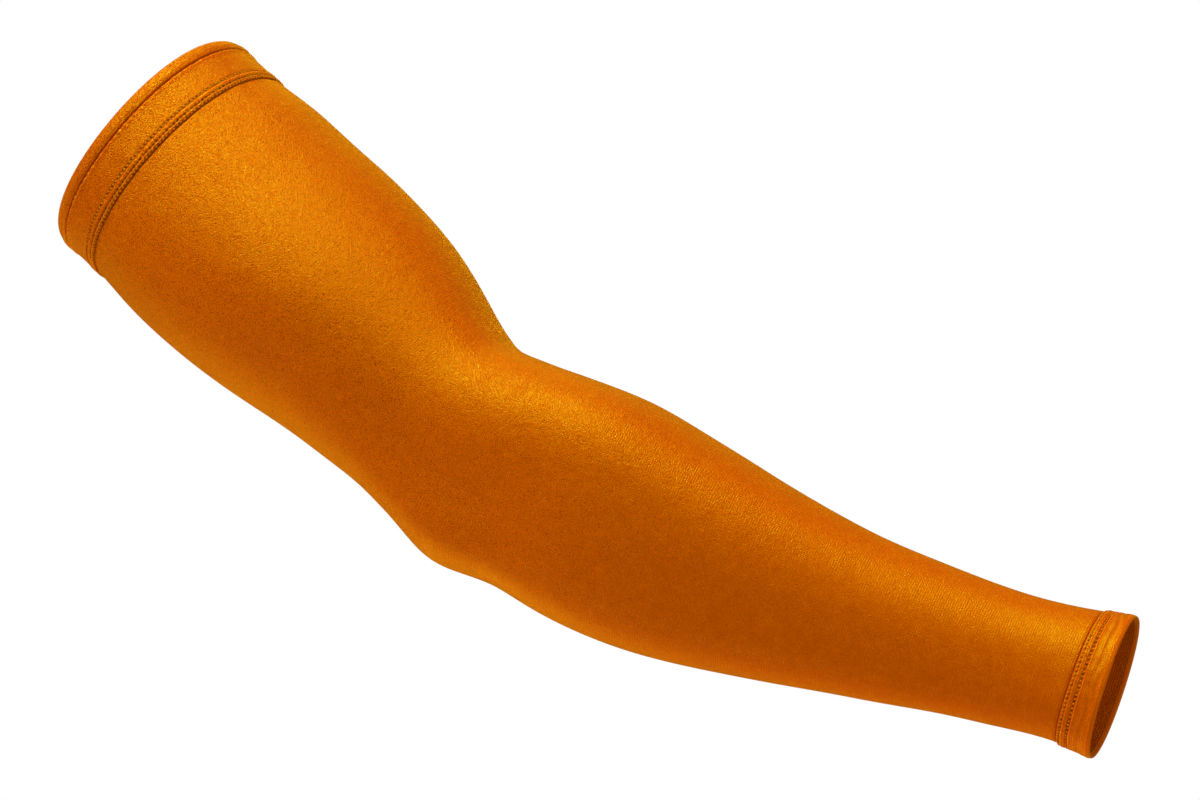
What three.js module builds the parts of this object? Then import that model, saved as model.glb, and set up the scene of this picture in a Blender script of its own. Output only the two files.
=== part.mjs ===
// Arm sleeve of stretch knit, in the shape that it takes on a slightly bent arm, with the arm
// left out. Millimetres. The origin is the centre of the upper opening. +Z points up out of it,
// straight away from the centre of the wrist opening, and +X to the front of the arm, which is
// the inside of the elbow. The side that shows in the picture faces -Y.
import * as THREE from "three";

// Driving sizes: how the sleeve runs along the arm
const upperLength = 181; // upper opening to the middle of the elbow
const foreLength = 253.5; // middle of the elbow to the wrist opening
const elbowBend = 22; // degrees
const bendRadius = 110; // of the sleeve's middle line round the elbow

// Driving sizes: the knit's outside, depth from front to back and breadth from side to side
const openingDepth = 100.5;
const openingBreadth = 93;
const bicepsDepth = 104.5;
const bicepsBreadth = 95;
const elbowDepth = 80;
const elbowBreadth = 79;
const forearmDepth = 89;
const forearmBreadth = 81;
const wristDepth = 49;
const wristBreadth = 43;
const cuffDepth = 53;
const cuffBreadth = 46.5;

// Driving sizes: cloth, bands and seams
const knitWall = 1.1;
const bandWall = 1.6; // two layers of cloth
const bandProud = 0.6; // how far a band stands out past the knit beside it
const seamGap = 0.3; // between two pieces that are sewn together
const bicepsBandHeight = 22; // upper opening to the band's lower edge
const rimRollHeight = 5.4;
const rimRollWall = 2.2;
const rimRollRound = 3; // height of the roll's rounded top
const wristHemHeight = 12.5; // wrist opening to the hem's upper edge
const hemRound = 1.6; // height of the hem's rounded lower edge
const knitLap = 6; // how far the knit runs on under a band
const lapSlope = 3; // length over which it dips to get under it
const rimTilt = 2.5; // how much further up the arm the upper rim lies at the front than at the back
const cuffTilt = 1.8; // the same for the wrist rim

// How finely the cloth is divided
const sides = 36;
const knitRows = 38;
const bandRows = 3;
const edgeSteps = 4;

const fullness = 0.02; // how much squarer than an ellipse a section is
const knitColour = 0xd97a10;
const bandColour = 0xdd8014;

// The places where the girths above are measured, each a share of its half of the sleeve
const girths = [
  { half: "upper", at: 0.0, depth: openingDepth, breadth: openingBreadth },
  { half: "upper", at: 0.33, depth: bicepsDepth, breadth: bicepsBreadth },
  { half: "upper", at: 0.9, depth: elbowDepth, breadth: elbowBreadth },
  { half: "fore", at: 0.22, depth: forearmDepth, breadth: forearmBreadth },
  { half: "fore", at: 0.89, depth: wristDepth, breadth: wristBreadth },
  { half: "fore", at: 1.0, depth: cuffDepth, breadth: cuffBreadth },
];

// Sections: shares of the girths, and how far each lies to the front of the middle line, as a
// share of its depth
const sections = [
  { half: "upper", at: 0.0, depth: 1.0, breadth: 1.0, front: 0.0 },
  { half: "upper", at: 0.11, depth: 0.97, breadth: 0.98, front: 0.002 },
  { half: "upper", at: 0.22, depth: 0.985, breadth: 0.99, front: 0.003 },
  { half: "upper", at: 0.33, depth: 0.993, breadth: 1.0, front: 0.004 },
  { half: "upper", at: 0.44, depth: 1.018, breadth: 1.01, front: 0.013 },
  { half: "upper", at: 0.55, depth: 1.042, breadth: 1.02, front: 0.024 },
  { half: "upper", at: 0.66, depth: 1.052, breadth: 1.02, front: 0.03 },
  { half: "upper", at: 0.77, depth: 1.03, breadth: 1.01, front: 0.015 },
  { half: "upper", at: 0.88, depth: 0.985, breadth: 1.0, front: -0.009 },
  { half: "upper", at: 1.0, depth: 1.003, breadth: 1.02, front: -0.021 },
  { half: "fore", at: 0.08, depth: 0.995, breadth: 1.02, front: -0.031 },
  { half: "fore", at: 0.15, depth: 1.0, breadth: 1.01, front: -0.049 },
  { half: "fore", at: 0.23, depth: 0.997, breadth: 1.0, front: -0.067 },
  { half: "fore", at: 0.31, depth: 0.978, breadth: 0.985, front: -0.091 },
  { half: "fore", at: 0.38, depth: 0.962, breadth: 0.975, front: -0.109 },
  { half: "fore", at: 0.46, depth: 0.947, breadth: 0.965, front: -0.128 },
  { half: "fore", at: 0.54, depth: 0.947, breadth: 0.965, front: -0.142 },
  { half: "fore", at: 0.62, depth: 0.96, breadth: 0.975, front: -0.147 },
  { half: "fore", at: 0.7, depth: 0.993, breadth: 0.995, front: -0.136 },
  { half: "fore", at: 0.78, depth: 1.005, breadth: 1.01, front: -0.116 },
  { half: "fore", at: 0.86, depth: 1.004, breadth: 1.0, front: -0.087 },
  { half: "fore", at: 0.94, depth: 0.986, breadth: 0.99, front: -0.038 },
  { half: "fore", at: 1.0, depth: 1.0, breadth: 1.0, front: -0.017 },
];

// Forms that stand out of the plain sections, or sink in where their height is below 0. The
// angle is in degrees from the front, negative on the side that shows; the height is a share of
// the elbow's depth, and the length and width are how far it spreads along and round the arm
const forms = [
  { name: "elbow point", half: "fore", at: 0.016, angle: 180, height: 0.042, length: 0.032, width: 17 },
  { name: "outer elbow", half: "fore", at: 0.02, angle: -146, height: 0.018, length: 0.05, width: 14 },
  { name: "elbow hollow", half: "fore", at: 0.03, angle: -113, height: -0.055, length: 0.09, width: 18 },
  { name: "elbow crook", half: "upper", at: 0.95, angle: 0, height: -0.012, length: 0.06, width: 30 },
  { name: "crook ridge", half: "upper", at: 0.97, angle: -55, height: 0.06, length: 0.17, width: 21 },
  { name: "forearm ridge", half: "fore", at: 0.18, angle: -52, height: 0.07, length: 0.12, width: 18 },
  { name: "lower ridge", half: "fore", at: 0.42, angle: -54, height: 0.03, length: 0.14, width: 17 },
  { name: "outer forearm", half: "fore", at: 0.32, angle: -120, height: -0.065, length: 0.22, width: 24 },
  { name: "biceps swell", half: "upper", at: 0.53, angle: -90, height: 0.07, length: 0.19, width: 24 },
  { name: "inner forearm", half: "fore", at: 0.25, angle: 60, height: 0.016, length: 0.2, width: 30 },
  { name: "outer wrist", half: "fore", at: 0.8, angle: -110, height: -0.02, length: 0.16, width: 26 },
];

// The middle line: straight, round the elbow, straight
const turn = THREE.MathUtils.degToRad(elbowBend);
const bendLength = bendRadius * turn;
const upperStraight = upperLength - bendLength / 2;
const foreStraight = foreLength - bendLength / 2;
const cornerReach = bendRadius * Math.tan(turn / 2);
const upperLeg = upperStraight + cornerReach;
const foreLeg = foreStraight + cornerReach;
const sleeveLength = upperLength + foreLength;

// The upper arm leans back by this angle, so that the wrist lies straight below the origin
const backLean = Math.atan2(foreLeg * Math.sin(turn), upperLeg + foreLeg * Math.cos(turn));

// Headings are angles from straight down towards the front
function downAlong(heading) {
  return new THREE.Vector3(Math.sin(heading), 0, -Math.cos(heading));
}

function frontOf(heading) {
  return new THREE.Vector3(Math.cos(heading), 0, Math.sin(heading));
}

function middleAt(along) {
  const inBend = THREE.MathUtils.clamp(along - upperStraight, 0, bendLength);
  const heading = inBend / bendRadius - backLean;
  const before = Math.min(along, upperStraight);
  const after = Math.max(along - upperStraight - bendLength, 0);
  const centre = downAlong(-backLean)
    .multiplyScalar(before)
    .addScaledVector(frontOf(-backLean), bendRadius)
    .addScaledVector(frontOf(heading), -bendRadius)
    .addScaledVector(downAlong(heading), after);
  return { centre, front: frontOf(heading) };
}

// Distance along the middle line of a table row
function rowPlace(row) {
  return row.half === "upper" ? row.at * upperLength : upperLength + row.at * foreLength;
}

// A smooth line through the values of one column: a natural cubic spline
function smoothLine(rows, column) {
  const place = rows.map(rowPlace);
  const value = rows.map((row) => row[column]);
  const last = rows.length - 1;
  const curve = new Array(rows.length).fill(0);
  const carried = new Array(rows.length).fill(0);
  for (let i = 1; i < last; i++) {
    const before = place[i] - place[i - 1];
    const after = place[i + 1] - place[i];
    const change = (value[i + 1] - value[i]) / after - (value[i] - value[i - 1]) / before;
    const pivot = 2 * (before + after) - before * curve[i - 1];
    curve[i] = after / pivot;
    carried[i] = (6 * change - before * carried[i - 1]) / pivot;
  }
  const bending = new Array(rows.length).fill(0);
  for (let i = last - 1; i > 0; i--) bending[i] = carried[i] - curve[i] * bending[i + 1];
  return (along) => {
    const at = THREE.MathUtils.clamp(along, place[0], place[last]);
    let i = 0;
    while (i < last - 1 && at > place[i + 1]) i++;
    const span = place[i + 1] - place[i];
    const right = (at - place[i]) / span;
    const left = 1 - right;
    const straight = left * value[i] + right * value[i + 1];
    const pullLeft = (left ** 3 - left) * bending[i];
    const pullRight = (right ** 3 - right) * bending[i + 1];
    return straight + ((pullLeft + pullRight) * span ** 2) / 6;
  };
}

const girthDepth = smoothLine(girths, "depth");
const girthBreadth = smoothLine(girths, "breadth");
const depthShare = smoothLine(sections, "depth");
const breadthShare = smoothLine(sections, "breadth");
const frontShare = smoothLine(sections, "front");

// A hump of height 1 that dies away over its spread to either side
function hump(distance, spread) {
  return Math.exp(-((distance / spread) ** 2) / 2);
}

// How far the forms move the cloth outward at one place, for an angle in degrees
function formHeight(along, angle) {
  let height = 0;
  for (const form of forms) {
    const halfLength = form.half === "upper" ? upperLength : foreLength;
    const round = THREE.MathUtils.euclideanModulo(angle - form.angle + 180, 360) - 180;
    const lengthways = hump(along - rowPlace(form), form.length * halfLength);
    height += form.height * elbowDepth * lengthways * hump(round, form.width);
  }
  return height;
}

// A point of the knit's outside in its own section: x to the front, y to the side
function sectionPoint(along, angle) {
  const turned = THREE.MathUtils.degToRad(angle);
  const depth = girthDepth(along) * depthShare(along);
  const breadth = girthBreadth(along) * breadthShare(along);
  const fuller = 1 + fullness * Math.sin(2 * turned) ** 2;
  const front = ((depth / 2) * Math.cos(turned) * fuller) + frontShare(along) * depth;
  return new THREE.Vector2(front, (breadth / 2) * Math.sin(turned) * fuller);
}

// The rims aren't quite square across the arm: this is the place along the middle line of a
// point that a square rim would have at along
function slantedPlace(along, angle) {
  const toFront = Math.cos(THREE.MathUtils.degToRad(angle)) / 2;
  const nearRim = Math.max(1 - along / bicepsBandHeight, 0);
  const nearCuff = Math.max(1 - (sleeveLength - along) / wristHemHeight, 0);
  return along - toFront * (rimTilt * nearRim + cuffTilt * nearCuff);
}

// The same point in space, moved out of the cloth's surface by the distance out
function clothPoint(squareAlong, angle, out) {
  const along = slantedPlace(squareAlong, angle);
  const nearby = 0.5;
  const ahead = sectionPoint(along, angle + nearby);
  const behind = sectionPoint(along, angle - nearby);
  const outward = new THREE.Vector2(ahead.y - behind.y, behind.x - ahead.x).normalize();
  const flat = sectionPoint(along, angle).addScaledVector(outward, out + formHeight(along, angle));
  const { centre, front } = middleAt(along);
  const point = centre.addScaledVector(front, flat.x);
  point.y = flat.y;
  return point;
}

// A closed ring of cloth: its cut outline, a list of { along, out }, carried round the arm. The
// outline runs down the outside and back up the inside
function clothRing(name, outline, colour) {
  const positions = [];
  for (const { along, out } of outline) {
    for (let side = 0; side < sides; side++) {
      positions.push(...clothPoint(along, (360 * side) / sides, out).toArray());
    }
  }
  const faces = [];
  for (let row = 0; row < outline.length; row++) {
    const nextRow = (row + 1) % outline.length;
    for (let side = 0; side < sides; side++) {
      const nextSide = (side + 1) % sides;
      const corner = row * sides + side;
      const beside = row * sides + nextSide;
      const below = nextRow * sides + side;
      const opposite = nextRow * sides + nextSide;
      faces.push(corner, below, opposite, corner, opposite, beside);
    }
  }
  const geometry = new THREE.BufferGeometry();
  geometry.setAttribute("position", new THREE.Float32BufferAttribute(positions, 3));
  geometry.setIndex(faces);
  geometry.computeVertexNormals();
  const material = new THREE.MeshStandardMaterial({ color: colour, roughness: 0.6, metalness: 0 });
  const mesh = new THREE.Mesh(geometry, material);
  mesh.name = name;
  return mesh;
}

// Evenly spaced points from one place to another, both ends included
function evenly(from, to, steps) {
  return Array.from({ length: steps + 1 }, (_, step) => from + ((to - from) * step) / steps);
}

// The rounded end of a folded edge: half an ellipse that reaches from the place along to its
// tip, from outAtStart over to outAtEnd, without its two ends
function foldedEnd(along, tip, outAtStart, outAtEnd) {
  const middle = (outAtStart + outAtEnd) / 2;
  const half = (outAtStart - outAtEnd) / 2;
  const turns = evenly(0, Math.PI, 2 * edgeSteps).slice(1, -1);
  return turns.map((angle) => ({
    along: along + (tip - along) * Math.sin(angle),
    out: middle + half * Math.cos(angle),
  }));
}

function straightRun(from, to, steps, out) {
  return evenly(from, to, steps).map((along) => ({ along, out }));
}

const bandInside = bandProud - bandWall;
const knitSunk = bandInside - seamGap;
const hemTop = sleeveLength - wristHemHeight;
const knitTop = bicepsBandHeight - knitLap;
const knitBottom = hemTop + knitLap;

// How far out the knit's outside lies: 0 in the open, sunk where it runs under a band
function knitOut(along) {
  const fromUpperBand = (along - bicepsBandHeight) / lapSlope;
  const fromHem = (hemTop - along) / lapSlope;
  const clear = THREE.MathUtils.smoothstep(Math.min(fromUpperBand, fromHem), 0, 1);
  return knitSunk * (1 - clear);
}

function sleeveTube() {
  const open = evenly(bicepsBandHeight + lapSlope, hemTop - lapSlope, knitRows);
  const dip = [bicepsBandHeight, bicepsBandHeight + lapSlope / 2];
  const rise = [hemTop - lapSlope / 2, hemTop];
  const places = [knitTop, ...dip, ...open, ...rise, knitBottom];
  const outside = places.map((along) => ({ along, out: knitOut(along) }));
  const inside = places.map((along) => ({ along, out: knitOut(along) - knitWall })).reverse();
  return clothRing("sleeve_tube", [...outside, ...inside], knitColour);
}

function bicepsBand() {
  const top = rimRollHeight + seamGap;
  const fold = bicepsBandHeight - bandWall / 2;
  const outline = [
    ...straightRun(top, fold, bandRows, bandProud),
    ...foldedEnd(fold, bicepsBandHeight, bandProud, bandInside),
    ...straightRun(fold, top, bandRows, bandInside),
  ];
  return clothRing("biceps_band", outline, bandColour);
}

function rimRoll() {
  const inside = bandProud - rimRollWall;
  const outline = [
    ...straightRun(rimRollRound, rimRollHeight, 1, bandProud),
    ...straightRun(rimRollHeight, rimRollRound, 1, inside),
    ...foldedEnd(rimRollRound, 0, inside, bandProud),
  ];
  return clothRing("rim_roll", outline, bandColour);
}

function wristHem() {
  const round = sleeveLength - hemRound;
  const fold = hemTop + bandWall / 2;
  const outline = [
    ...straightRun(fold, round, bandRows, bandProud),
    ...foldedEnd(round, sleeveLength, bandProud, bandInside),
    ...straightRun(round, fold, bandRows, bandInside),
    ...foldedEnd(fold, hemTop, bandInside, bandProud),
  ];
  return clothRing("wrist_hem", outline, bandColour);
}

const sleeve = new THREE.Group();
sleeve.add(sleeveTube(), bicepsBand(), rimRoll(), wristHem());

export default sleeve;
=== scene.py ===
"""The looks of an arm sleeve of stretch knit, shown as it is worn, with the arm left out.

Metres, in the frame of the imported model: the origin is the centre of the upper opening, +Z up
out of it, +X to the front of the arm and -Y to the side that the picture shows.
"""
import math

import bpy
import numpy as np
from mathutils import Matrix, Vector


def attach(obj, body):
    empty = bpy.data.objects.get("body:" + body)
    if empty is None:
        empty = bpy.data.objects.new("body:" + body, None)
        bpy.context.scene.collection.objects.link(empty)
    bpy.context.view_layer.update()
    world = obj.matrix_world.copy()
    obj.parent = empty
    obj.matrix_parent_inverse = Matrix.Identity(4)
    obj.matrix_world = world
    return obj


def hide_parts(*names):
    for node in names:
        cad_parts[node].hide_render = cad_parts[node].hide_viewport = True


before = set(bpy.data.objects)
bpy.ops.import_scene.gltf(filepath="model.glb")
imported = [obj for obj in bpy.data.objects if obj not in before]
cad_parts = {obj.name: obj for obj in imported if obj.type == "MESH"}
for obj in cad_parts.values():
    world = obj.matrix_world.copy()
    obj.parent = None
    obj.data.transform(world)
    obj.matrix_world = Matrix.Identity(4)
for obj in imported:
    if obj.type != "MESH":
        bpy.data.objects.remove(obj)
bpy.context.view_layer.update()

MM = 0.001

# How the sleeve runs along the arm
UPPER_LENGTH = 181 * MM
FORE_LENGTH = 253.5 * MM
ELBOW_BEND = math.radians(22)
BEND_RADIUS = 110 * MM
SLEEVE_LENGTH = UPPER_LENGTH + FORE_LENGTH

# Cloth, bands and seams
KNIT_WALL = 1.1 * MM
BAND_WALL = 1.6 * MM
BAND_PROUD = 0.6 * MM
SEAM_GAP = 0.3 * MM
BICEPS_BAND_HEIGHT = 22 * MM
RIM_ROLL_HEIGHT = 5.4 * MM
RIM_ROLL_WALL = 2.2 * MM
RIM_ROLL_ROUND = 3 * MM
WRIST_HEM_HEIGHT = 12.5 * MM
HEM_ROUND = 1.6 * MM
KNIT_LAP = 6 * MM
LAP_SLOPE = 1 * MM
LAP_START = 0.5 * MM
RIM_TILT = 2.5 * MM
CUFF_TILT = 1.8 * MM
FULLNESS = 0.02

ELBOW_DEPTH = 80 * MM

# Outside depth and breadth of the knit, and where along its half of the sleeve each is measured
GIRTHS = [
    {"half": "upper", "at": 0.0, "depth": 100.5 * MM, "breadth": 93 * MM},
    {"half": "upper", "at": 0.33, "depth": 104.5 * MM, "breadth": 95 * MM},
    {"half": "upper", "at": 0.9, "depth": ELBOW_DEPTH, "breadth": 79 * MM},
    {"half": "fore", "at": 0.22, "depth": 89 * MM, "breadth": 81 * MM},
    {"half": "fore", "at": 0.89, "depth": 49 * MM, "breadth": 43 * MM},
    {"half": "fore", "at": 1.0, "depth": 53 * MM, "breadth": 46.5 * MM},
]

# Sections: shares of the girths, and how far each lies to the front, as a share of its depth
SECTIONS = [
    {"half": "upper", "at": 0.0, "depth": 1.0, "breadth": 1.0, "front": 0.0},
    {"half": "upper", "at": 0.11, "depth": 0.97, "breadth": 0.98, "front": 0.002},
    {"half": "upper", "at": 0.22, "depth": 0.985, "breadth": 0.99, "front": 0.003},
    {"half": "upper", "at": 0.33, "depth": 0.993, "breadth": 1.0, "front": 0.004},
    {"half": "upper", "at": 0.44, "depth": 1.018, "breadth": 1.01, "front": 0.013},
    {"half": "upper", "at": 0.55, "depth": 1.042, "breadth": 1.02, "front": 0.024},
    {"half": "upper", "at": 0.66, "depth": 1.052, "breadth": 1.02, "front": 0.03},
    {"half": "upper", "at": 0.77, "depth": 1.03, "breadth": 1.01, "front": 0.015},
    {"half": "upper", "at": 0.88, "depth": 0.985, "breadth": 1.0, "front": -0.009},
    {"half": "upper", "at": 1.0, "depth": 1.003, "breadth": 1.02, "front": -0.021},
    {"half": "fore", "at": 0.08, "depth": 0.995, "breadth": 1.02, "front": -0.031},
    {"half": "fore", "at": 0.15, "depth": 1.0, "breadth": 1.01, "front": -0.049},
    {"half": "fore", "at": 0.23, "depth": 0.997, "breadth": 1.0, "front": -0.067},
    {"half": "fore", "at": 0.31, "depth": 0.978, "breadth": 0.985, "front": -0.091},
    {"half": "fore", "at": 0.38, "depth": 0.962, "breadth": 0.975, "front": -0.109},
    {"half": "fore", "at": 0.46, "depth": 0.947, "breadth": 0.965, "front": -0.128},
    {"half": "fore", "at": 0.54, "depth": 0.947, "breadth": 0.965, "front": -0.142},
    {"half": "fore", "at": 0.62, "depth": 0.96, "breadth": 0.975, "front": -0.147},
    {"half": "fore", "at": 0.7, "depth": 0.993, "breadth": 0.995, "front": -0.136},
    {"half": "fore", "at": 0.78, "depth": 1.005, "breadth": 1.01, "front": -0.116},
    {"half": "fore", "at": 0.86, "depth": 1.004, "breadth": 1.0, "front": -0.087},
    {"half": "fore", "at": 0.94, "depth": 0.986, "breadth": 0.99, "front": -0.038},
    {"half": "fore", "at": 1.0, "depth": 1.0, "breadth": 1.0, "front": -0.017},
]

# Forms out of the plain sections, or into them where the height is below 0. Angles are degrees
# from the front, negative on the side that shows. The height is a share of the elbow's depth,
# and the length a share of its half of the sleeve
FORM_COLUMNS = ("name", "half", "at", "angle", "height", "length", "width")
FORM_ROWS = [
    ("elbow point", "fore", 0.016, 180, 0.042, 0.032, 17),
    ("outer elbow", "fore", 0.02, -146, 0.018, 0.05, 14),
    ("elbow hollow", "fore", 0.03, -113, -0.055, 0.09, 18),
    ("elbow crook", "upper", 0.95, 0, -0.012, 0.06, 30),
    ("crook ridge", "upper", 0.97, -55, 0.06, 0.17, 21),
    ("forearm ridge", "fore", 0.18, -52, 0.07, 0.12, 18),
    ("lower ridge", "fore", 0.42, -54, 0.03, 0.14, 17),
    ("outer forearm", "fore", 0.32, -120, -0.065, 0.22, 24),
    ("biceps swell", "upper", 0.53, -90, 0.07, 0.19, 24),
    ("inner forearm", "fore", 0.25, 60, 0.016, 0.2, 30),
    ("outer wrist", "fore", 0.8, -110, -0.02, 0.16, 26),
]
FORMS = [dict(zip(FORM_COLUMNS, row)) for row in FORM_ROWS]

BEND_LENGTH = BEND_RADIUS * ELBOW_BEND
UPPER_STRAIGHT = UPPER_LENGTH - BEND_LENGTH / 2
CORNER_REACH = BEND_RADIUS * math.tan(ELBOW_BEND / 2)
UPPER_LEG = UPPER_STRAIGHT + CORNER_REACH
FORE_LEG = FORE_LENGTH - BEND_LENGTH / 2 + CORNER_REACH
BACK_LEAN = math.atan2(FORE_LEG * math.sin(ELBOW_BEND), UPPER_LEG + FORE_LEG * math.cos(ELBOW_BEND))

BAND_INSIDE = BAND_PROUD - BAND_WALL
KNIT_SUNK = BAND_INSIDE - SEAM_GAP
HEM_TOP = SLEEVE_LENGTH - WRIST_HEM_HEIGHT
SEAM_SIDE = 90  # degrees: the hidden side, where the cloth's grain meets itself


def down_along(heading):
    return np.stack([np.sin(heading), 0 * heading, -np.cos(heading)], -1)


def front_of(heading):
    return np.stack([np.cos(heading), 0 * heading, np.sin(heading)], -1)


def middle_at(along):
    """Points of the sleeve's middle line, and the way to the front there."""
    in_bend = np.clip(along - UPPER_STRAIGHT, 0, BEND_LENGTH)
    heading = in_bend / BEND_RADIUS - BACK_LEAN
    start = np.full_like(heading, -BACK_LEAN)
    before = np.minimum(along, UPPER_STRAIGHT)[..., None]
    after = np.maximum(along - UPPER_STRAIGHT - BEND_LENGTH, 0)[..., None]
    centre = down_along(start) * before + down_along(heading) * after
    centre = centre + (front_of(start) - front_of(heading)) * BEND_RADIUS
    return centre, front_of(heading)


def row_place(row):
    if row["half"] == "upper":
        return row["at"] * UPPER_LENGTH
    return UPPER_LENGTH + row["at"] * FORE_LENGTH


def smooth_line(rows, column):
    """A natural cubic spline through one column, as a function of the distance along."""
    place = np.array([row_place(row) for row in rows])
    value = np.array([row[column] for row in rows])
    span = np.diff(place)
    count = len(rows)
    system = np.eye(count)
    wanted = np.zeros(count)
    for i in range(1, count - 1):
        system[i, i - 1:i + 2] = span[i - 1], 2 * (span[i - 1] + span[i]), span[i]
        wanted[i] = 6 * ((value[i + 1] - value[i]) / span[i] - (value[i] - value[i - 1]) / span[i - 1])
    bending = np.linalg.solve(system, wanted)

    def line(along):
        at = np.clip(along, place[0], place[-1])
        i = np.clip(np.searchsorted(place, at, side="right") - 1, 0, count - 2)
        right = (at - place[i]) / span[i]
        left = 1 - right
        pull = (left ** 3 - left) * bending[i] + (right ** 3 - right) * bending[i + 1]
        return left * value[i] + right * value[i + 1] + pull * span[i] ** 2 / 6

    return line


girth_depth = smooth_line(GIRTHS, "depth")
girth_breadth = smooth_line(GIRTHS, "breadth")
depth_share = smooth_line(SECTIONS, "depth")
breadth_share = smooth_line(SECTIONS, "breadth")
front_share = smooth_line(SECTIONS, "front")


def hump(distance, spread):
    return np.exp(-((distance / spread) ** 2) / 2)


def smooth_step(value, start, end):
    share = np.clip((value - start) / (end - start), 0, 1)
    return share * share * (3 - 2 * share)


def turned_from(angle, middle):
    """How far an angle is turned from the middle, in degrees from -180 to 180."""
    return np.mod(angle - middle + 180, 360) - 180


def form_height(along, angle):
    height = np.zeros(np.broadcast(along, angle).shape)
    for form in FORMS:
        half_length = UPPER_LENGTH if form["half"] == "upper" else FORE_LENGTH
        turned = turned_from(angle, form["angle"])
        lengthways = hump(along - row_place(form), form["length"] * half_length)
        height += form["height"] * ELBOW_DEPTH * lengthways * hump(turned, form["width"])
    return height


def section_point(along, angle):
    """A point of the knit's outside in its own section: to the front and to the side."""
    turned = np.radians(angle)
    depth = girth_depth(along) * depth_share(along)
    breadth = girth_breadth(along) * breadth_share(along)
    fuller = 1 + FULLNESS * np.sin(2 * turned) ** 2
    front = depth / 2 * np.cos(turned) * fuller + front_share(along) * depth
    return front, breadth / 2 * np.sin(turned) * fuller


def cloth_points(square_along, angle, out):
    """Points in space that lie out of the knit's surface by the distance out."""
    to_front = np.cos(np.radians(angle)) / 2
    near_rim = np.maximum(1 - square_along / BICEPS_BAND_HEIGHT, 0)
    near_cuff = np.maximum(1 - (SLEEVE_LENGTH - square_along) / WRIST_HEM_HEIGHT, 0)
    along = square_along - to_front * (RIM_TILT * near_rim + CUFF_TILT * near_cuff)
    nearby = 0.5
    ahead_front, ahead_side = section_point(along, angle + nearby)
    behind_front, behind_side = section_point(along, angle - nearby)
    normal_front = ahead_side - behind_side
    normal_side = behind_front - ahead_front
    length = np.hypot(normal_front, normal_side)
    lift = out + form_height(along, angle)
    flat_front, flat_side = section_point(along, angle)
    flat_front = flat_front + normal_front / length * lift
    flat_side = flat_side + normal_side / length * lift
    centre, front = middle_at(along)
    points = centre + front * flat_front[..., None]
    points[..., 1] = flat_side
    return points


def new_piece(name, points, faces, materials):
    mesh = bpy.data.meshes.new(name)
    mesh.from_pydata(points.reshape(-1, 3).tolist(), [], faces.tolist())
    mesh.shade_smooth()
    for material in materials:
        mesh.materials.append(material)
    piece = bpy.data.objects.new(name, mesh)
    bpy.context.scene.collection.objects.link(piece)
    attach(piece, "root")
    return piece


def ring_faces(rows, sides):
    """Quads of a grid of rows round the arm, closed both ways, as rows of four corners."""
    row, side = np.meshgrid(np.arange(rows), np.arange(sides), indexing="ij")
    below = (row + 1) % rows
    beside = (side + 1) % sides
    corners = [row * sides + side, below * sides + side, below * sides + beside, row * sides + beside]
    return np.stack(corners, -1).reshape(-1, 4)


def add_cloth_map(piece, along, reached):
    """A UV map in metres: the way round the arm from the middle of the side that shows, and the
    place along it. It is open at the hidden side."""
    rows, sides = reached.shape[0], reached.shape[1] - 1
    row, side = np.meshgrid(np.arange(rows), np.arange(sides), indexing="ij")
    below = (row + 1) % rows
    corner_rows = np.stack([row, below, below, row], -1)
    corner_sides = np.stack([side, side, side + 1, side + 1], -1)
    across = reached[corner_rows, corner_sides]
    down = np.broadcast_to(along[:, None], reached.shape)[corner_rows, corner_sides]
    layer = piece.data.uv_layers.new(name="cloth")
    layer.data.foreach_set("uv", np.stack([across, down], -1).astype(np.float32).ravel())


def cloth_ring(name, outside, inside, edge, sides, slot, relief, painted_shading):
    """A closed ring of cloth: its cut outline carried round the arm.

    The outline runs down the outside, back up the inside and over the upper edge, in rows of
    (along, out, share). relief(along, angle) moves the cloth outward, by the row's share of it,
    and the last argument, a function of (along, angle), paints shade into the cloth's colour by
    the same share: painted shade in holes and valleys, and painted highlights where it is below 0.
    """
    along, out, share = np.array(outside + inside + edge).T
    angles = SEAM_SIDE + 360 * np.arange(sides) / sides
    grid_along, grid_angle = np.meshgrid(along, angles, indexing="ij")
    grid_out = out[:, None] + share[:, None] * relief(grid_along, grid_angle)
    points = cloth_points(grid_along, grid_angle, grid_out)
    outer_cloth = KNIT if slot == "knit" else BAND
    piece = new_piece(name, points, ring_faces(len(along), sides), [outer_cloth, LINING])
    steps = np.linalg.norm(np.roll(points, -1, axis=1) - points, axis=2)
    reached = np.concatenate([np.zeros((len(along), 1)), np.cumsum(steps, axis=1)], axis=1)
    add_cloth_map(piece, along, reached - reached[:, -1:] / 2)
    row = np.arange(len(along))
    lined = (row >= len(outside)) & (row < len(outside) + len(inside))
    piece.data.polygons.foreach_set("material_index", np.repeat(lined, sides).astype(np.int32))
    # The painted shade and painted highlights, kept on the points for the material's colour.
    painted_shading_values = share[:, None] * painted_shading(grid_along, grid_angle)
    layer = piece.data.attributes.new("painted_shading", "FLOAT", "POINT")
    layer.data.foreach_set("value", painted_shading_values.astype(np.float32).ravel())
    return piece


def evenly(start, end, step):
    """Places from start to end, both included, about a step apart."""
    return np.linspace(start, end, max(round(abs(end - start) / step), 1) + 1).tolist()


def rows_at(places, out, share):
    return [(along, out, share) for along in places]


def folded_end(along, tip, out_at_start, out_at_end, share, steps=6):
    """Half an ellipse from along to its tip and back, without its two ends."""
    middle = (out_at_start + out_at_end) / 2
    half = (out_at_start - out_at_end) / 2
    turns = np.linspace(0, math.pi, steps + 1)[1:-1]
    return [
        (along + (tip - along) * math.sin(turn), middle + half * math.cos(turn), share * (turn < 1.6))
        for turn in turns
    ]


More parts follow.
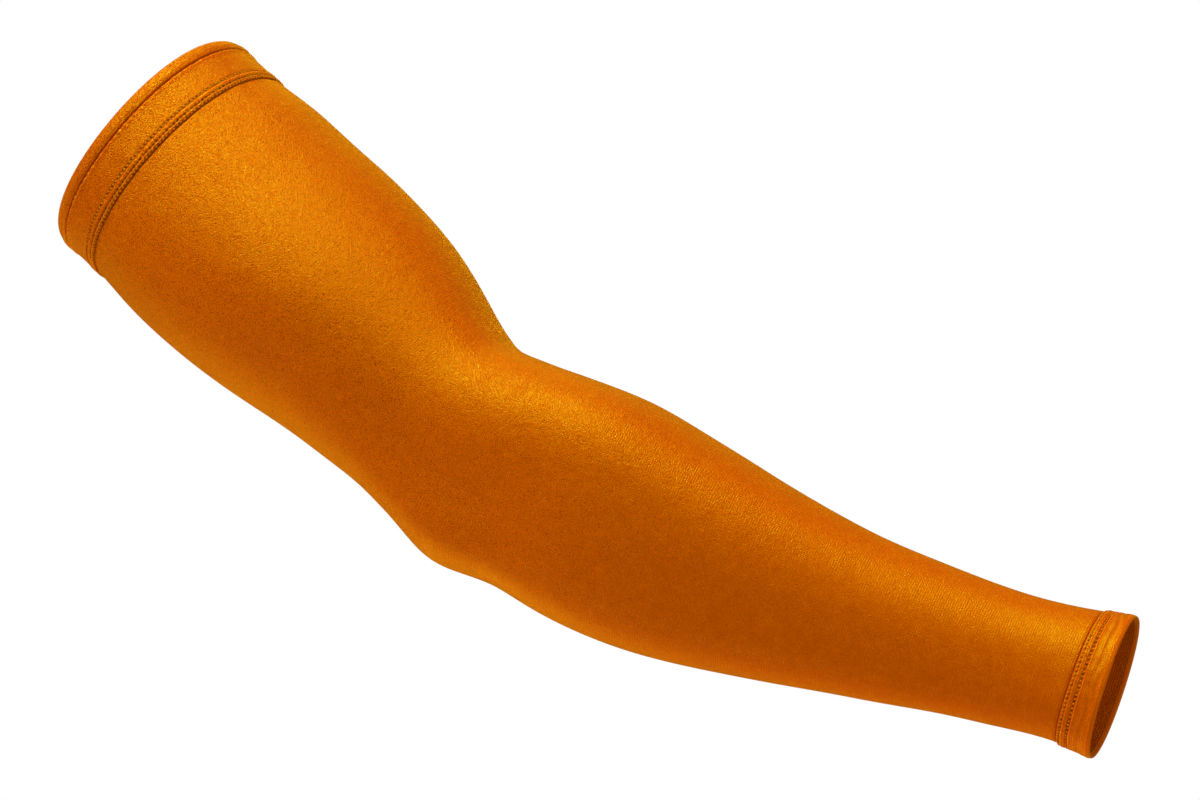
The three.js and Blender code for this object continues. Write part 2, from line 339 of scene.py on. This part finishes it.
# Seams: places are from the upper opening on the band, and from the wrist opening on the hem
BAND_STITCH = 1.75 * MM
RIM_STITCH = 2.8 * MM
HEM_STITCH = 1.72 * MM
BAND_GIRTH = 304 * MM
HEM_GIRTH = 157 * MM
BAND_STITCHES = round(BAND_GIRTH / BAND_STITCH)
RIM_STITCHES = round(BAND_GIRTH / RIM_STITCH)
HEM_STITCHES = round(HEM_GIRTH / HEM_STITCH)
SIDES_PER_STITCH = 6
TUBE_SIDES = 180

NEEDLE_ROW = 17.6 * MM
CORD_RIDGE = 19.2 * MM
PIT_ROW = 20.1 * MM
THREAD_LINE = 20.85 * MM
EDGE_ROW = 21.45 * MM
RIM_ROW = 5.95 * MM
HEM_UPPER_ROW = 11.75 * MM
HEM_LOWER_ROW = 8.75 * MM

# The plain part of each band, where its mesh is coarser
BAND_FIELD_START = 7.6 * MM
BAND_FIELD_END = 16.6 * MM
HEM_SEAM_END = 7.4 * MM


def from_hole(angle, count, shift=0.0):
    """How far an angle is from the nearest of count evenly spaced holes, in shares of a pitch."""
    place = angle / 360 * count + shift
    return place - np.round(place)


def pits(along, angle, place, spread, count, shift=0.0, share=0.2):
    """A row of needle holes, each as deep as its own number makes it."""
    number = np.round(angle / 360 * count + shift)
    depth = 0.72 + 0.2 * np.sin(2.4 * number) + 0.16 * np.sin(5.3 * number + 1)
    return depth * hump(along - place, spread) * hump(from_hole(angle, count, shift), share)


def ripple(angle, waves):
    """A slow unevenness round the arm: a sum of (times round, turned by, height) waves."""
    turned = np.radians(angle)
    return sum(height * np.cos(times * turned + start) for times, start, height in waves)


UNEVEN_BAND = [(19, 0.4, 0.05 * MM), (31, 2.1, 0.05 * MM), (47, 4.0, 0.035 * MM)]
UNEVEN_RIDGE = [(58, 1.0, 0.035 * MM), (87, 3.1, 0.03 * MM)]


def band_relief(along, angle):
    ripples = ripple(angle, UNEVEN_BAND) * hump(along - 15 * MM, 4 * MM)
    lines = (
        0.3 * MM * hump(along - 6.5 * MM, 0.45 * MM)
        - 0.24 * MM * hump(along - NEEDLE_ROW, 0.42 * MM)
        + 0.16 * MM * hump(along - 18.6 * MM, 0.3 * MM)
        + 0.1 * MM * hump(along - CORD_RIDGE, 0.4 * MM)
        - 0.2 * MM * hump(along - PIT_ROW, 0.24 * MM)
        + 0.1 * MM * hump(along - 20.6 * MM, 0.2 * MM)
        - 0.4 * MM * smooth_step(along, 20.9 * MM, BICEPS_BAND_HEIGHT)
    )
    scallops = 0.12 * MM * hump(along - 6.4 * MM, 0.5 * MM) * np.cos(
        2 * math.pi * from_hole(angle, RIM_STITCHES, 0.5)
    )
    ribs = 0.06 * MM * hump(along - CORD_RIDGE, 0.5 * MM) * np.cos(
        2 * math.pi * from_hole(angle, BAND_STITCHES)
    )
    uneven = ripple(angle, UNEVEN_RIDGE) * hump(along - CORD_RIDGE, 1.2 * MM)
    return ripples + lines + scallops + ribs + uneven - 0.4 * MM * band_pits(along, angle)


def band_pits(along, angle):
    return (
        pits(along, angle, NEEDLE_ROW - 0.1 * MM, 0.22 * MM, BAND_STITCHES, 0.5, 0.16)
        + 1.3 * pits(along, angle, PIT_ROW, 0.27 * MM, BAND_STITCHES, 0.2, 0.22)
        + pits(along, angle, EDGE_ROW + 0.05 * MM, 0.22 * MM, BAND_STITCHES, 0.5, 0.17)
        + pits(along, angle, 5.75 * MM, 0.25 * MM, RIM_STITCHES, 0.0, 0.14)
    )


def band_painted_shading(along, angle):
    """Painted shade in the needle holes and valleys of the band and under its edges, up to 1, and
    painted highlights on its raised lines and scallops, below 0."""
    painted_valley_shade = (
        0.7 * hump(along - NEEDLE_ROW + 0.42 * MM, 0.14 * MM)
        + 0.8 * hump(along - NEEDLE_ROW - 0.42 * MM, 0.14 * MM)
        + 0.2 * hump(along - PIT_ROW, 0.22 * MM)
        + 0.3 * hump(along - 21.2 * MM, 0.18 * MM)
        + 0.25 * hump(along - RIM_ROLL_HEIGHT, 0.25 * MM)
        + 0.5 * hump(along - BICEPS_BAND_HEIGHT, 0.3 * MM)
    )
    scallops = 0.8 + 0.5 * np.cos(2 * math.pi * from_hole(angle, RIM_STITCHES, 0.5))
    # Painted highlights on the raised lines beside the seams and along the rim's scallops.
    painted_highlights = (
        0.4 * hump(along - 6.5 * MM, 0.4 * MM) * scallops
        + 0.3 * hump(along - 18.6 * MM, 0.25 * MM)
        + 0.35 * hump(along - 20.65 * MM, 0.2 * MM)
    )
    return np.clip(0.7 * painted_valley_shade + 0.95 * band_pits(along, angle) - painted_highlights, -0.35, 1)


def rim_relief(along, angle):
    puff = 0.4 * MM * np.sin(math.pi * np.clip(along / RIM_ROLL_HEIGHT, 0, 1) ** 1.3)
    ticks = 0.05 * MM * np.cos(2 * math.pi * from_hole(angle, 3 * RIM_STITCHES))
    pinches = 0.2 * MM * pits(along, angle, RIM_ROLL_HEIGHT, 0.6 * MM, RIM_STITCHES, 0.0, 0.16)
    return puff + ticks * hump(along - 4.3 * MM, 0.7 * MM) - pinches


# Painted shade in the groove under the rolled rim and on its small ribs.
def rim_painted_shade(along, angle):
    ticks = 0.2 * hump(along - 4.5 * MM, 0.5 * MM) * np.cos(
        2 * math.pi * from_hole(angle, 3 * RIM_STITCHES)
    )
    return np.clip(0.45 * hump(along - RIM_ROLL_HEIGHT, 0.25 * MM) + ticks, 0, 1)


UNEVEN_HEM = [(13, 0.9, 0.05 * MM), (22, 2.7, 0.04 * MM), (34, 5.0, 0.03 * MM)]
HEM_RIBS = [(45, 0.3, 0.045 * MM), (61, 1.9, 0.045 * MM)]


def hem_relief(along, angle):
    up = SLEEVE_LENGTH - along
    lines = (
        -0.35 * MM * smooth_step(up, 11.6 * MM, WRIST_HEM_HEIGHT)
        - 0.14 * MM * hump(up - HEM_UPPER_ROW, 0.4 * MM)
        + 0.16 * MM * hump(up - 10.75 * MM, 0.3 * MM)
        + 0.08 * MM * hump(up - 10.2 * MM, 0.6 * MM)
        - 0.26 * MM * hump(up - HEM_LOWER_ROW, 0.38 * MM)
        + 0.16 * MM * hump(up - HEM_LOWER_ROW + 0.95 * MM, 0.25 * MM)
        + 0.12 * MM * hump(up - 1.8 * MM, 0.6 * MM)
    )
    ribs = ripple(angle, HEM_RIBS) * hump(up - 10.2 * MM, 0.6 * MM)
    slow = ripple(angle, UNEVEN_HEM) * hump(up - 7 * MM, 3 * MM)
    sway = 0.5 * np.sin(np.radians(5 * angle)) + 0.3 * np.sin(np.radians(9 * angle) + 1)
    waves = np.cos(2 * math.pi * up / (2.9 * MM) + 3 * sway)
    wrinkles = 0.17 * MM * waves * hump(up - 4.2 * MM, 1.7 * MM)
    wrinkles = wrinkles * (0.35 + 0.65 * hump(turned_from(angle, -45), 50))
    return lines + ribs + slow + wrinkles - 0.36 * MM * hem_pits(up, angle)


def hem_pits(up, angle):
    return (
        pits(up, angle, HEM_UPPER_ROW - 0.5 * MM, 0.2 * MM, HEM_STITCHES, 0.3, 0.22)
        + 0.6 * pits(up, angle, HEM_UPPER_ROW, 0.16 * MM, HEM_STITCHES, 0.5, 0.14)
        + pits(up, angle, HEM_LOWER_ROW, 0.28 * MM, HEM_STITCHES, 0.5, 0.2)
    )


# Painted shade in the hem's needle holes and valleys, and painted highlights, below 0, on its raised
# lines and folded edge.
def hem_painted_shading(along, angle):
    up = SLEEVE_LENGTH - along
    painted_valley_shade = (
        0.45 * hump(up - HEM_UPPER_ROW + 0.5 * MM, 0.15 * MM)
        + 0.25 * hump(up - HEM_LOWER_ROW, 0.3 * MM)
        + 0.25 * hump(up - WRIST_HEM_HEIGHT, 0.2 * MM)
    )
    # Painted highlights on the raised lines beside the rows and along the folded edge.
    painted_highlights = (
        0.3 * hump(up - HEM_UPPER_ROW + 1.0 * MM, 0.25 * MM)
        + 0.3 * hump(up - HEM_LOWER_ROW + 0.95 * MM, 0.22 * MM)
        + 0.35 * hump(up - 1.1 * MM, 0.7 * MM)
    )
    return np.clip(0.7 * painted_valley_shade + 0.95 * hem_pits(up, angle) - painted_highlights, -0.35, 1)


def tube_relief(along, angle):
    """The cloth puckers a little where it is sewn to the bands."""
    near_band = hump(along - BICEPS_BAND_HEIGHT, 5 * MM)
    near_hem = hump(along - HEM_TOP, 4 * MM)
    return ripple(angle, UNEVEN_BAND) * near_band + ripple(angle, UNEVEN_HEM) * near_hem


# Painted shade: dark lines on the knit where the band's and the hem's edges overhang it.
def tube_painted_shade(along, angle):
    edges = 0.5 * hump(along - BICEPS_BAND_HEIGHT, 0.25 * MM) + 0.25 * hump(along - HEM_TOP, 0.2 * MM)
    return np.clip(0.6 * edges, 0, 1) + 0 * angle


# Finishes
WALE = 0.95 * MM
COURSE = 0.9 * MM


def add_node(tree, kind, inputs=(), **settings):
    made = tree.nodes.new("ShaderNode" + kind)
    for name, value in settings.items():
        setattr(made, name, value)
    for name, value in dict(inputs).items():
        plug(tree, value, made.inputs[name])
    return made


def plug(tree, value, socket):
    if isinstance(value, bpy.types.NodeSocket):
        tree.links.new(value, socket)
    else:
        socket.default_value = value


def maths(tree, operation, *values):
    made = tree.nodes.new("ShaderNodeMath")
    made.operation = operation
    for socket, value in zip(made.inputs, values):
        plug(tree, value, socket)
    return made.outputs[0]


def noise(tree, place, scale, detail=2.0, roughness=0.5):
    made = add_node(
        tree, "TexNoise", {"Vector": place, "Scale": scale, "Detail": detail, "Roughness": roughness}
    )
    return made.outputs["Fac"]


def loops_height(tree, wale, course):
    """The height of the knit's loops, from 0 to 1: columns of V shapes along the arm."""
    cloth = tree.nodes.new("ShaderNodeUVMap")
    cloth.uv_map = "cloth"
    split = add_node(tree, "SeparateXYZ", {"Vector": cloth.outputs["UV"]})
    across = maths(tree, "FRACT", maths(tree, "DIVIDE", split.outputs["X"], wale))
    from_middle = maths(tree, "ABSOLUTE", maths(tree, "MULTIPLY_ADD", across, 2.0, -1.0))
    turns = maths(tree, "MULTIPLY", split.outputs["Y"], 2 * math.pi / course)
    phase = maths(tree, "MULTIPLY_ADD", from_middle, 2.4, turns)
    loops = maths(tree, "MULTIPLY_ADD", maths(tree, "SINE", phase), 0.5, 0.5)
    edge = maths(tree, "SUBTRACT", 1.0, maths(tree, "POWER", from_middle, 4.0))
    return maths(tree, "MULTIPLY", loops, edge)


def cloth_material(name, deep, light, nap, sheen, contrast, gloss):
    """Stretch knit: a mottled colour from deep to light, knit loops and a short nap.

    The grain is stronger and the gloss sharper toward the upper arm, where the knit is stretched
    more. The needle holes and valleys are dull, and painted shade darkens their colour; painted
    highlights lighten the raised lines beside them.
    """
    material = bpy.data.materials.new(name)
    material.use_nodes = True
    tree = material.node_tree
    tree.nodes.clear()
    place = tree.nodes.new("ShaderNodeTexCoord").outputs["Object"]
    patches = noise(tree, place, 110.0, 3.0, 0.65)
    spots = noise(tree, place, 600.0, 3.0, 0.8)
    grain = noise(tree, place, 1700.0, 1.0, 0.5)
    fibres = noise(tree, place, 2900.0, 0.0, 0.5)
    loops = loops_height(tree, WALE, COURSE)
    worn = maths(tree, "MULTIPLY_ADD", noise(tree, place, 260.0), 2.4, -0.7)
    shown_loops = maths(tree, "MULTIPLY", loops, maths(tree, "MAXIMUM", worn, 0.1))
    level = add_node(tree, "SeparateXYZ", {"Vector": place}).outputs["Z"]
    stretched = maths(tree, "MULTIPLY_ADD", level, 2.4, 1.5)
    fine = maths(tree, "MULTIPLY_ADD", grain, 1.2, maths(tree, "MULTIPLY_ADD", fibres, 1.4, -1.3))
    fine = maths(tree, "MULTIPLY", fine, stretched)
    layers = [(patches, 0.26), (spots, 0.26), (fine, 1.0), (shown_loops, 0.5)]
    tone = 0.45 - contrast * (0.26 + 0.1)
    for layer, amount in layers:
        tone = maths(tree, "MULTIPLY_ADD", layer, amount * contrast, tone)
    ramp = tree.nodes.new("ShaderNodeValToRGB")
    ramp.color_ramp.elements[0].position = 0.0
    ramp.color_ramp.elements[0].color = deep
    ramp.color_ramp.elements[1].position = 1.0
    ramp.color_ramp.elements[1].color = light
    tree.links.new(tone, ramp.inputs["Fac"])
    # Painted shade darkens the colour in needle holes and valleys, and painted highlights lighten it
    # where the attribute is below 0.
    painted_shading = add_node(tree, "Attribute", attribute_name="painted_shading").outputs["Fac"]
    painted_shading_factor = maths(tree, "MULTIPLY_ADD", painted_shading, -0.95, 1.0)
    colour_with_painted_shading = add_node(
        tree, "VectorMath", {0: ramp.outputs["Color"], 1: painted_shading_factor}, operation="MULTIPLY"
    ).outputs["Vector"]
    nap_here = maths(tree, "MULTIPLY", stretched, nap)
    height = maths(tree, "MULTIPLY_ADD", spots, nap_here, maths(tree, "MULTIPLY", shown_loops, 0.5))
    height = maths(tree, "MULTIPLY_ADD", fine, 0.65 * nap, height)
    bump = add_node(tree, "Bump", {"Height": height, "Strength": 1.0, "Distance": 0.00022})
    dullness = maths(tree, "MULTIPLY_ADD", stretched, -0.12, 0.57)
    dullness = maths(tree, "MULTIPLY_ADD", fine, 0.42, dullness)
    shader = add_node(
        tree,
        "BsdfPrincipled",
        {
            "Base Color": colour_with_painted_shading,
            "Roughness": maths(tree, "MULTIPLY_ADD", painted_shading, 0.45, dullness),
            "Normal": bump.outputs["Normal"],
            "Specular IOR Level": gloss,
            "IOR": 1.8,
            "Specular Tint": (1.0, 0.88, 0.0, 1.0),
            "Sheen Weight": sheen,
            "Sheen Roughness": 0.27,
            "Sheen Tint": (1.0, 0.6, 0.0, 1.0),
        },
    )
    output = tree.nodes.new("ShaderNodeOutputMaterial")
    tree.links.new(shader.outputs["BSDF"], output.inputs["Surface"])
    return material


def thread_material():
    material = bpy.data.materials.new("sewing thread")
    material.use_nodes = True
    tree = material.node_tree
    shader = tree.nodes["Principled BSDF"]
    place = tree.nodes.new("ShaderNodeTexCoord").outputs["Object"]
    fibres = noise(tree, place, 2600.0, 2.0, 0.6)
    ramp = tree.nodes.new("ShaderNodeValToRGB")
    ramp.color_ramp.elements[0].position = 0.25
    ramp.color_ramp.elements[0].color = (1.0, 0.22, 0.005, 1)
    ramp.color_ramp.elements[1].position = 0.75
    ramp.color_ramp.elements[1].color = (1.0, 0.4, 0.03, 1)
    tree.links.new(fibres, ramp.inputs["Fac"])
    tree.links.new(ramp.outputs["Color"], shader.inputs["Base Color"])
    bump = add_node(tree, "Bump", {"Height": fibres, "Strength": 0.4, "Distance": 0.0001})
    tree.links.new(bump.outputs["Normal"], shader.inputs["Normal"])
    shader.inputs["Roughness"].default_value = 0.5
    shader.inputs["Specular Tint"].default_value = (1.0, 0.7, 0.05, 1.0)
    shader.inputs["Sheen Weight"].default_value = 0.8
    shader.inputs["Sheen Tint"].default_value = (1.0, 0.6, 0.05, 1.0)
    return material


DEEP_ORANGE = (0.55, 0.034, 0.0, 1)
LIGHT_ORANGE = (1.0, 0.158, 0.0, 1)
LINING_DEEP = (0.3, 0.03, 0.0, 1)
LINING_LIGHT = (0.95, 0.22, 0.0, 1)
KNIT = cloth_material("stretch knit", DEEP_ORANGE, LIGHT_ORANGE, 0.9, 0.8, 0.85, 0.9)
BAND = cloth_material("band knit", DEEP_ORANGE, LIGHT_ORANGE, 0.8, 0.8, 0.8, 0.9)
LINING = cloth_material("brushed lining", LINING_DEEP, LINING_LIGHT, 2.0, 0.1, 0.9, 0.1)
THREAD = thread_material()


# Pieces


def knit_out(along):
    """How far out the knit's outside lies: 0 in the open, sunk where it runs under a band."""
    from_band = (along - BICEPS_BAND_HEIGHT + LAP_START) / LAP_SLOPE
    from_hem = (HEM_TOP + LAP_START - along) / LAP_SLOPE
    clear = np.clip(np.minimum(from_band, from_hem), 0, 1)
    return KNIT_SUNK * (1 - clear * clear * (3 - 2 * clear))


def knit_tube():
    top = BICEPS_BAND_HEIGHT - KNIT_LAP
    bottom = HEM_TOP + KNIT_LAP
    rise_top = BICEPS_BAND_HEIGHT - LAP_START
    rise_bottom = HEM_TOP + LAP_START
    clear_top = rise_top + LAP_SLOPE
    clear_bottom = rise_bottom - LAP_SLOPE
    places = evenly(top, rise_top, 2 * MM)[:-1]
    places += evenly(rise_top, clear_top, 0.2 * MM)[:-1]
    places += evenly(clear_top, clear_bottom, 1.3 * MM)[:-1]
    places += evenly(clear_bottom, rise_bottom, 0.2 * MM)[:-1]
    places += evenly(rise_bottom, bottom, 2 * MM)
    inner_places = evenly(bottom, top, 4 * MM)
    outside = [(along, float(knit_out(along)), 1.0) for along in places]
    inside = [(along, float(knit_out(along)) - KNIT_WALL, 0.0) for along in inner_places]
    piece = cloth_ring("knit_tube", outside, inside, [], TUBE_SIDES, "knit", tube_relief, tube_painted_shade)
    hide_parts("sleeve_tube")
    return piece


def upper_band():
    top = RIM_ROLL_HEIGHT + 0.1 * MM
    round_top = top + 0.5 * MM
    fold = BICEPS_BAND_HEIGHT - BAND_WALL / 2
    places = evenly(round_top, BAND_FIELD_START, 0.16 * MM)[:-1]
    places += evenly(BAND_FIELD_START, BAND_FIELD_END, 1.1 * MM)[:-1]
    places += evenly(BAND_FIELD_END, fold, 0.16 * MM)
    outside = rows_at(places, BAND_PROUD, 1.0)
    outside += folded_end(fold, BICEPS_BAND_HEIGHT, BAND_PROUD, BAND_INSIDE, 1.0)
    inside = rows_at(evenly(fold, round_top, 2.5 * MM), BAND_INSIDE, 0.0)
    upper_edge = folded_end(round_top, top, BAND_INSIDE, BAND_PROUD, 0.0)
    sides = BAND_STITCHES * SIDES_PER_STITCH
    piece = cloth_ring(
        "upper_band", outside, inside, upper_edge, sides, "band_knit", band_relief, band_painted_shading
    )
    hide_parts("biceps_band")
    return piece


def rolled_rim():
    inside = BAND_PROUD - RIM_ROLL_WALL
    low = RIM_ROLL_HEIGHT - 0.5 * MM
    outside = rows_at(evenly(RIM_ROLL_ROUND, low, 0.25 * MM), BAND_PROUD, 1.0)
    outside += folded_end(low, RIM_ROLL_HEIGHT, BAND_PROUD, inside, 1.0)
    inner = rows_at(evenly(low, RIM_ROLL_ROUND, 0.5 * MM), inside, 0.0)
    top = folded_end(RIM_ROLL_ROUND, 0.0, inside, BAND_PROUD, 0.0, 14)
    sides = RIM_STITCHES * SIDES_PER_STITCH
    piece = cloth_ring("rolled_rim", outside, inner, top, sides, "band_knit", rim_relief, rim_painted_shade)
    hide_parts("rim_roll")
    return piece


def turned_hem():
    fold = HEM_TOP + BAND_WALL / 2
    field = SLEEVE_LENGTH - HEM_SEAM_END
    low = SLEEVE_LENGTH - HEM_ROUND
    places = evenly(fold, field, 0.17 * MM)[:-1]
    places += evenly(field, low, 0.45 * MM)
    outside = rows_at(places, BAND_PROUD, 1.0)
    outside += folded_end(low, SLEEVE_LENGTH, BAND_PROUD, BAND_INSIDE, 0.0, 10)
    inside = rows_at(evenly(low, fold, 1.5 * MM), BAND_INSIDE, 0.0)
    upper_edge = folded_end(fold, HEM_TOP, BAND_INSIDE, BAND_PROUD, 0.0)
    sides = HEM_STITCHES * SIDES_PER_STITCH
    piece = cloth_ring(
        "turned_hem", outside, inside, upper_edge, sides, "band_knit", hem_relief, hem_painted_shading
    )
    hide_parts("wrist_hem")
    return piece


def stitch_row(count, place, length, slant, radius, out, rise, shift):
    """Points of a row of thread stitches, each a short arc over the cloth.

    length and slant are the way it runs round and along the arm, and shift moves the row round
    the arm, in shares of a pitch.
    """
    uneven = np.random.default_rng(round(place / (0.01 * MM)))
    steps = np.linspace(0, 1, 7)
    number = np.arange(count)[:, None]
    jog = uneven.normal(0, 0.06, (count, 1))
    sway = uneven.normal(0, 0.07 * MM, (count, 1))
    size = 1 + uneven.normal(0, 0.09, (count, 1))
    pitch = 360 / count
    girth = BAND_GIRTH if place < UPPER_LENGTH else HEM_GIRTH
    reach = length * size / (girth / count)
    angle = (number + shift + jog + (steps - 0.5) * reach) * pitch
    along = place + sway + (steps - 0.5) * slant + 0 * angle
    lift = out + rise * (np.sin(math.pi * steps) ** 0.8) - 0.12 * MM + 0 * angle
    centre = cloth_points(along, angle, lift)
    outward = cloth_points(along, angle, lift + 1 * MM) - centre
    outward /= np.linalg.norm(outward, axis=-1, keepdims=True)
    heading = np.gradient(centre, axis=1)
    heading /= np.linalg.norm(heading, axis=-1, keepdims=True)
    beside = np.cross(heading, outward)
    thickness = radius * np.array([0.35, 0.85, 1.0, 1.05, 1.0, 0.85, 0.35])
    around = np.linspace(0, 2 * math.pi, 7)[:-1]
    ring = outward[:, :, None] * np.cos(around)[:, None] + beside[:, :, None] * np.sin(around)[:, None]
    return centre[:, :, None] + ring * thickness[None, :, None, None]


def thread_piece(name, rows):
    """One mesh of every stitch in the rows: closed tubes with flat ends."""
    points = np.concatenate(rows)
    stitches, rings, sides = points.shape[:3]
    ring, side = np.meshgrid(np.arange(rings - 1), np.arange(sides), indexing="ij")
    beside = (side + 1) % sides
    near = ring * sides
    far = (ring + 1) * sides
    corners = [near + side, near + beside, far + beside, far + side]
    tube = np.stack(corners, -1).reshape(-1, 4)
    starts = (np.arange(stitches) * rings * sides)[:, None]
    walls = (tube[None] + starts[:, :, None]).reshape(-1, 4)
    first_end = starts + np.arange(sides)[::-1]
    last_end = starts + (rings - 1) * sides + np.arange(sides)
    faces = walls.tolist() + first_end.tolist() + last_end.tolist()
    return new_piece(name, points, np.array(faces, dtype=object), [THREAD])


def stitches():
    """The three thread pieces. Each row has its count, its place, the length, slant and radius of
    a stitch, how far out it lies, its rise, and its shift. Bare lengths are in millimetres."""
    upper_row = SLEEVE_LENGTH - HEM_UPPER_ROW
    lower_row = SLEEVE_LENGTH - HEM_LOWER_ROW
    edge_out = BAND_PROUD - 0.2 * MM
    upper_out = BAND_PROUD - 0.1 * MM
    tables = [
        (BAND_STITCHES, NEEDLE_ROW, 0.95, 0.12, 0.27, BAND_PROUD, 0.2, 0.0),
        (BAND_STITCHES, THREAD_LINE, 1.45, 0.35, 0.15, BAND_PROUD, 0.16, 0.1),
        (BAND_STITCHES, EDGE_ROW, 0.8, -0.1, 0.22, edge_out, 0.14, 0.0),
        (RIM_STITCHES, RIM_ROW, 2.1, 0.05, 0.15, BAND_PROUD, 0.16, 0.5),
        (HEM_STITCHES, upper_row, 0.95, -0.2, 0.18, upper_out, 0.14, 0.0),
        (HEM_STITCHES, lower_row, 0.8, 0.15, 0.21, BAND_PROUD, 0.12, 0.0),
    ]
    rows = [
        stitch_row(count, place, length * MM, slant * MM, radius * MM, out, rise * MM, shift)
        for count, place, length, slant, radius, out, rise, shift in tables
    ]
    return (
        thread_piece("band_stitches", rows[:3]),
        thread_piece("rim_stitches", rows[3:4]),
        thread_piece("hem_stitches", rows[4:]),
    )


tube = knit_tube()
band = upper_band()
rim = rolled_rim()
hem = turned_hem()
band_stitches, rim_stitches, hem_stitches = stitches()

# Camera: it looks up at the sleeve's outer side, and is rolled so that the arm slants
CAMERA_LENS_MM = 130
SENSOR_WIDTH_MM = 36
LOOK_UP = math.radians(16.7)
ROLL = math.radians(60.66)
TARGET = Vector((-1.5215, 0.0, -207.3316)) * MM
CAMERA_DISTANCE = 1.612

# Surroundings
AMBIENT = 0.34
FLOOR_SIZE = 60
FLOOR_HEIGHT = -2.5
FLOOR_GLOW = 0.5

ahead = Vector((0, math.cos(LOOK_UP), math.sin(LOOK_UP)))
level_up = Vector((0, -math.sin(LOOK_UP), math.cos(LOOK_UP)))
level_right = Vector((1, 0, 0))
right = level_right * math.cos(ROLL) - level_up * math.sin(ROLL)
up = level_right * math.sin(ROLL) + level_up * math.cos(ROLL)


def picture_camera():
    lens = bpy.data.cameras.new("picture camera")
    lens.lens = CAMERA_LENS_MM
    lens.sensor_width = SENSOR_WIDTH_MM
    lens.clip_end = 20
    camera = bpy.data.objects.new("picture camera", lens)
    turned = Matrix((right, up, -ahead)).transposed().to_4x4()
    camera.matrix_world = Matrix.Translation(TARGET - ahead * CAMERA_DISTANCE) @ turned
    bpy.context.scene.collection.objects.link(camera)
    bpy.context.scene.camera = camera


def soft_light(name, toward, size, power, colour, glossy=True):
    """An area light that faces the sleeve. toward gives its place from the sleeve's middle:
    to the picture's right, up and toward the camera, in metres."""
    light = bpy.data.lights.new(name, "AREA")
    light.shape = "DISK"
    light.size = size
    light.energy = power
    light.color = colour
    holder = bpy.data.objects.new(name, light)
    place = TARGET + right * toward[0] + up * toward[1] - ahead * toward[2]
    holder.location = place
    holder.rotation_euler = (TARGET - place).to_track_quat("-Z", "Y").to_euler()
    holder.visible_glossy = glossy
    bpy.context.scene.collection.objects.link(holder)


def pale_surroundings():
    """A white world that lights the sleeve more softly than it shows, over a pale floor."""
    world = bpy.data.worlds.new("studio")
    world.use_nodes = True
    tree = world.node_tree
    tree.nodes.clear()
    seen = add_node(tree, "Background", {"Color": (1, 1, 1, 1), "Strength": 1.0})
    lighting = add_node(tree, "Background", {"Color": (1, 0.74, 0.1, 1), "Strength": AMBIENT})
    path = tree.nodes.new("ShaderNodeLightPath")
    mix = add_node(
        tree,
        "MixShader",
        {0: path.outputs["Is Camera Ray"], 1: lighting.outputs[0], 2: seen.outputs[0]},
    )
    output = tree.nodes.new("ShaderNodeOutputWorld")
    tree.links.new(mix.outputs[0], output.inputs["Surface"])
    bpy.context.scene.world = world
    mesh = bpy.data.meshes.new("floor")
    half = FLOOR_SIZE / 2
    corners = [(-half, -half, FLOOR_HEIGHT), (half, -half, FLOOR_HEIGHT)]
    corners += [(half, half, FLOOR_HEIGHT), (-half, half, FLOOR_HEIGHT)]
    mesh.from_pydata(corners, [], [(0, 1, 2, 3)])
    paint = bpy.data.materials.new("pale floor")
    paint.use_nodes = True
    shader = paint.node_tree.nodes["Principled BSDF"]
    shader.inputs["Base Color"].default_value = (0.62, 0.68, 0.95, 1)
    shader.inputs["Roughness"].default_value = 0.8
    shader.inputs["Emission Color"].default_value = (1, 1, 1, 1)
    seen_only = paint.node_tree.nodes.new("ShaderNodeLightPath").outputs["Is Camera Ray"]
    glow = maths(paint.node_tree, "MULTIPLY", seen_only, FLOOR_GLOW)
    paint.node_tree.links.new(glow, shader.inputs["Emission Strength"])
    mesh.materials.append(paint)
    floor = bpy.data.objects.new("floor", mesh)
    bpy.context.scene.collection.objects.link(floor)


picture_camera()
pale_surroundings()
soft_light("key", (-0.6, 1.54, 0.56), 0.9, 25.5, (1.0, 0.96, 0.45))
soft_light("edge", (-1.0, -1.4, -0.4), 1.0, 20, (1.0, 0.8, 0.25), glossy=False)
soft_light("fill", (1.3, -0.3, 0.9), 0.8, 4.2, (1.0, 0.8, 0.25), glossy=False)
soft_light("upper rim", (-0.2, 1.1, -1.7), 0.9, 6.5, (1.0, 0.6, 0.01))
soft_light("lower rim", (-0.9, -1.2, -1.7), 0.9, 6, (1.0, 0.57, 0.0))
bpy.context.scene.view_settings.view_transform = "Standard"
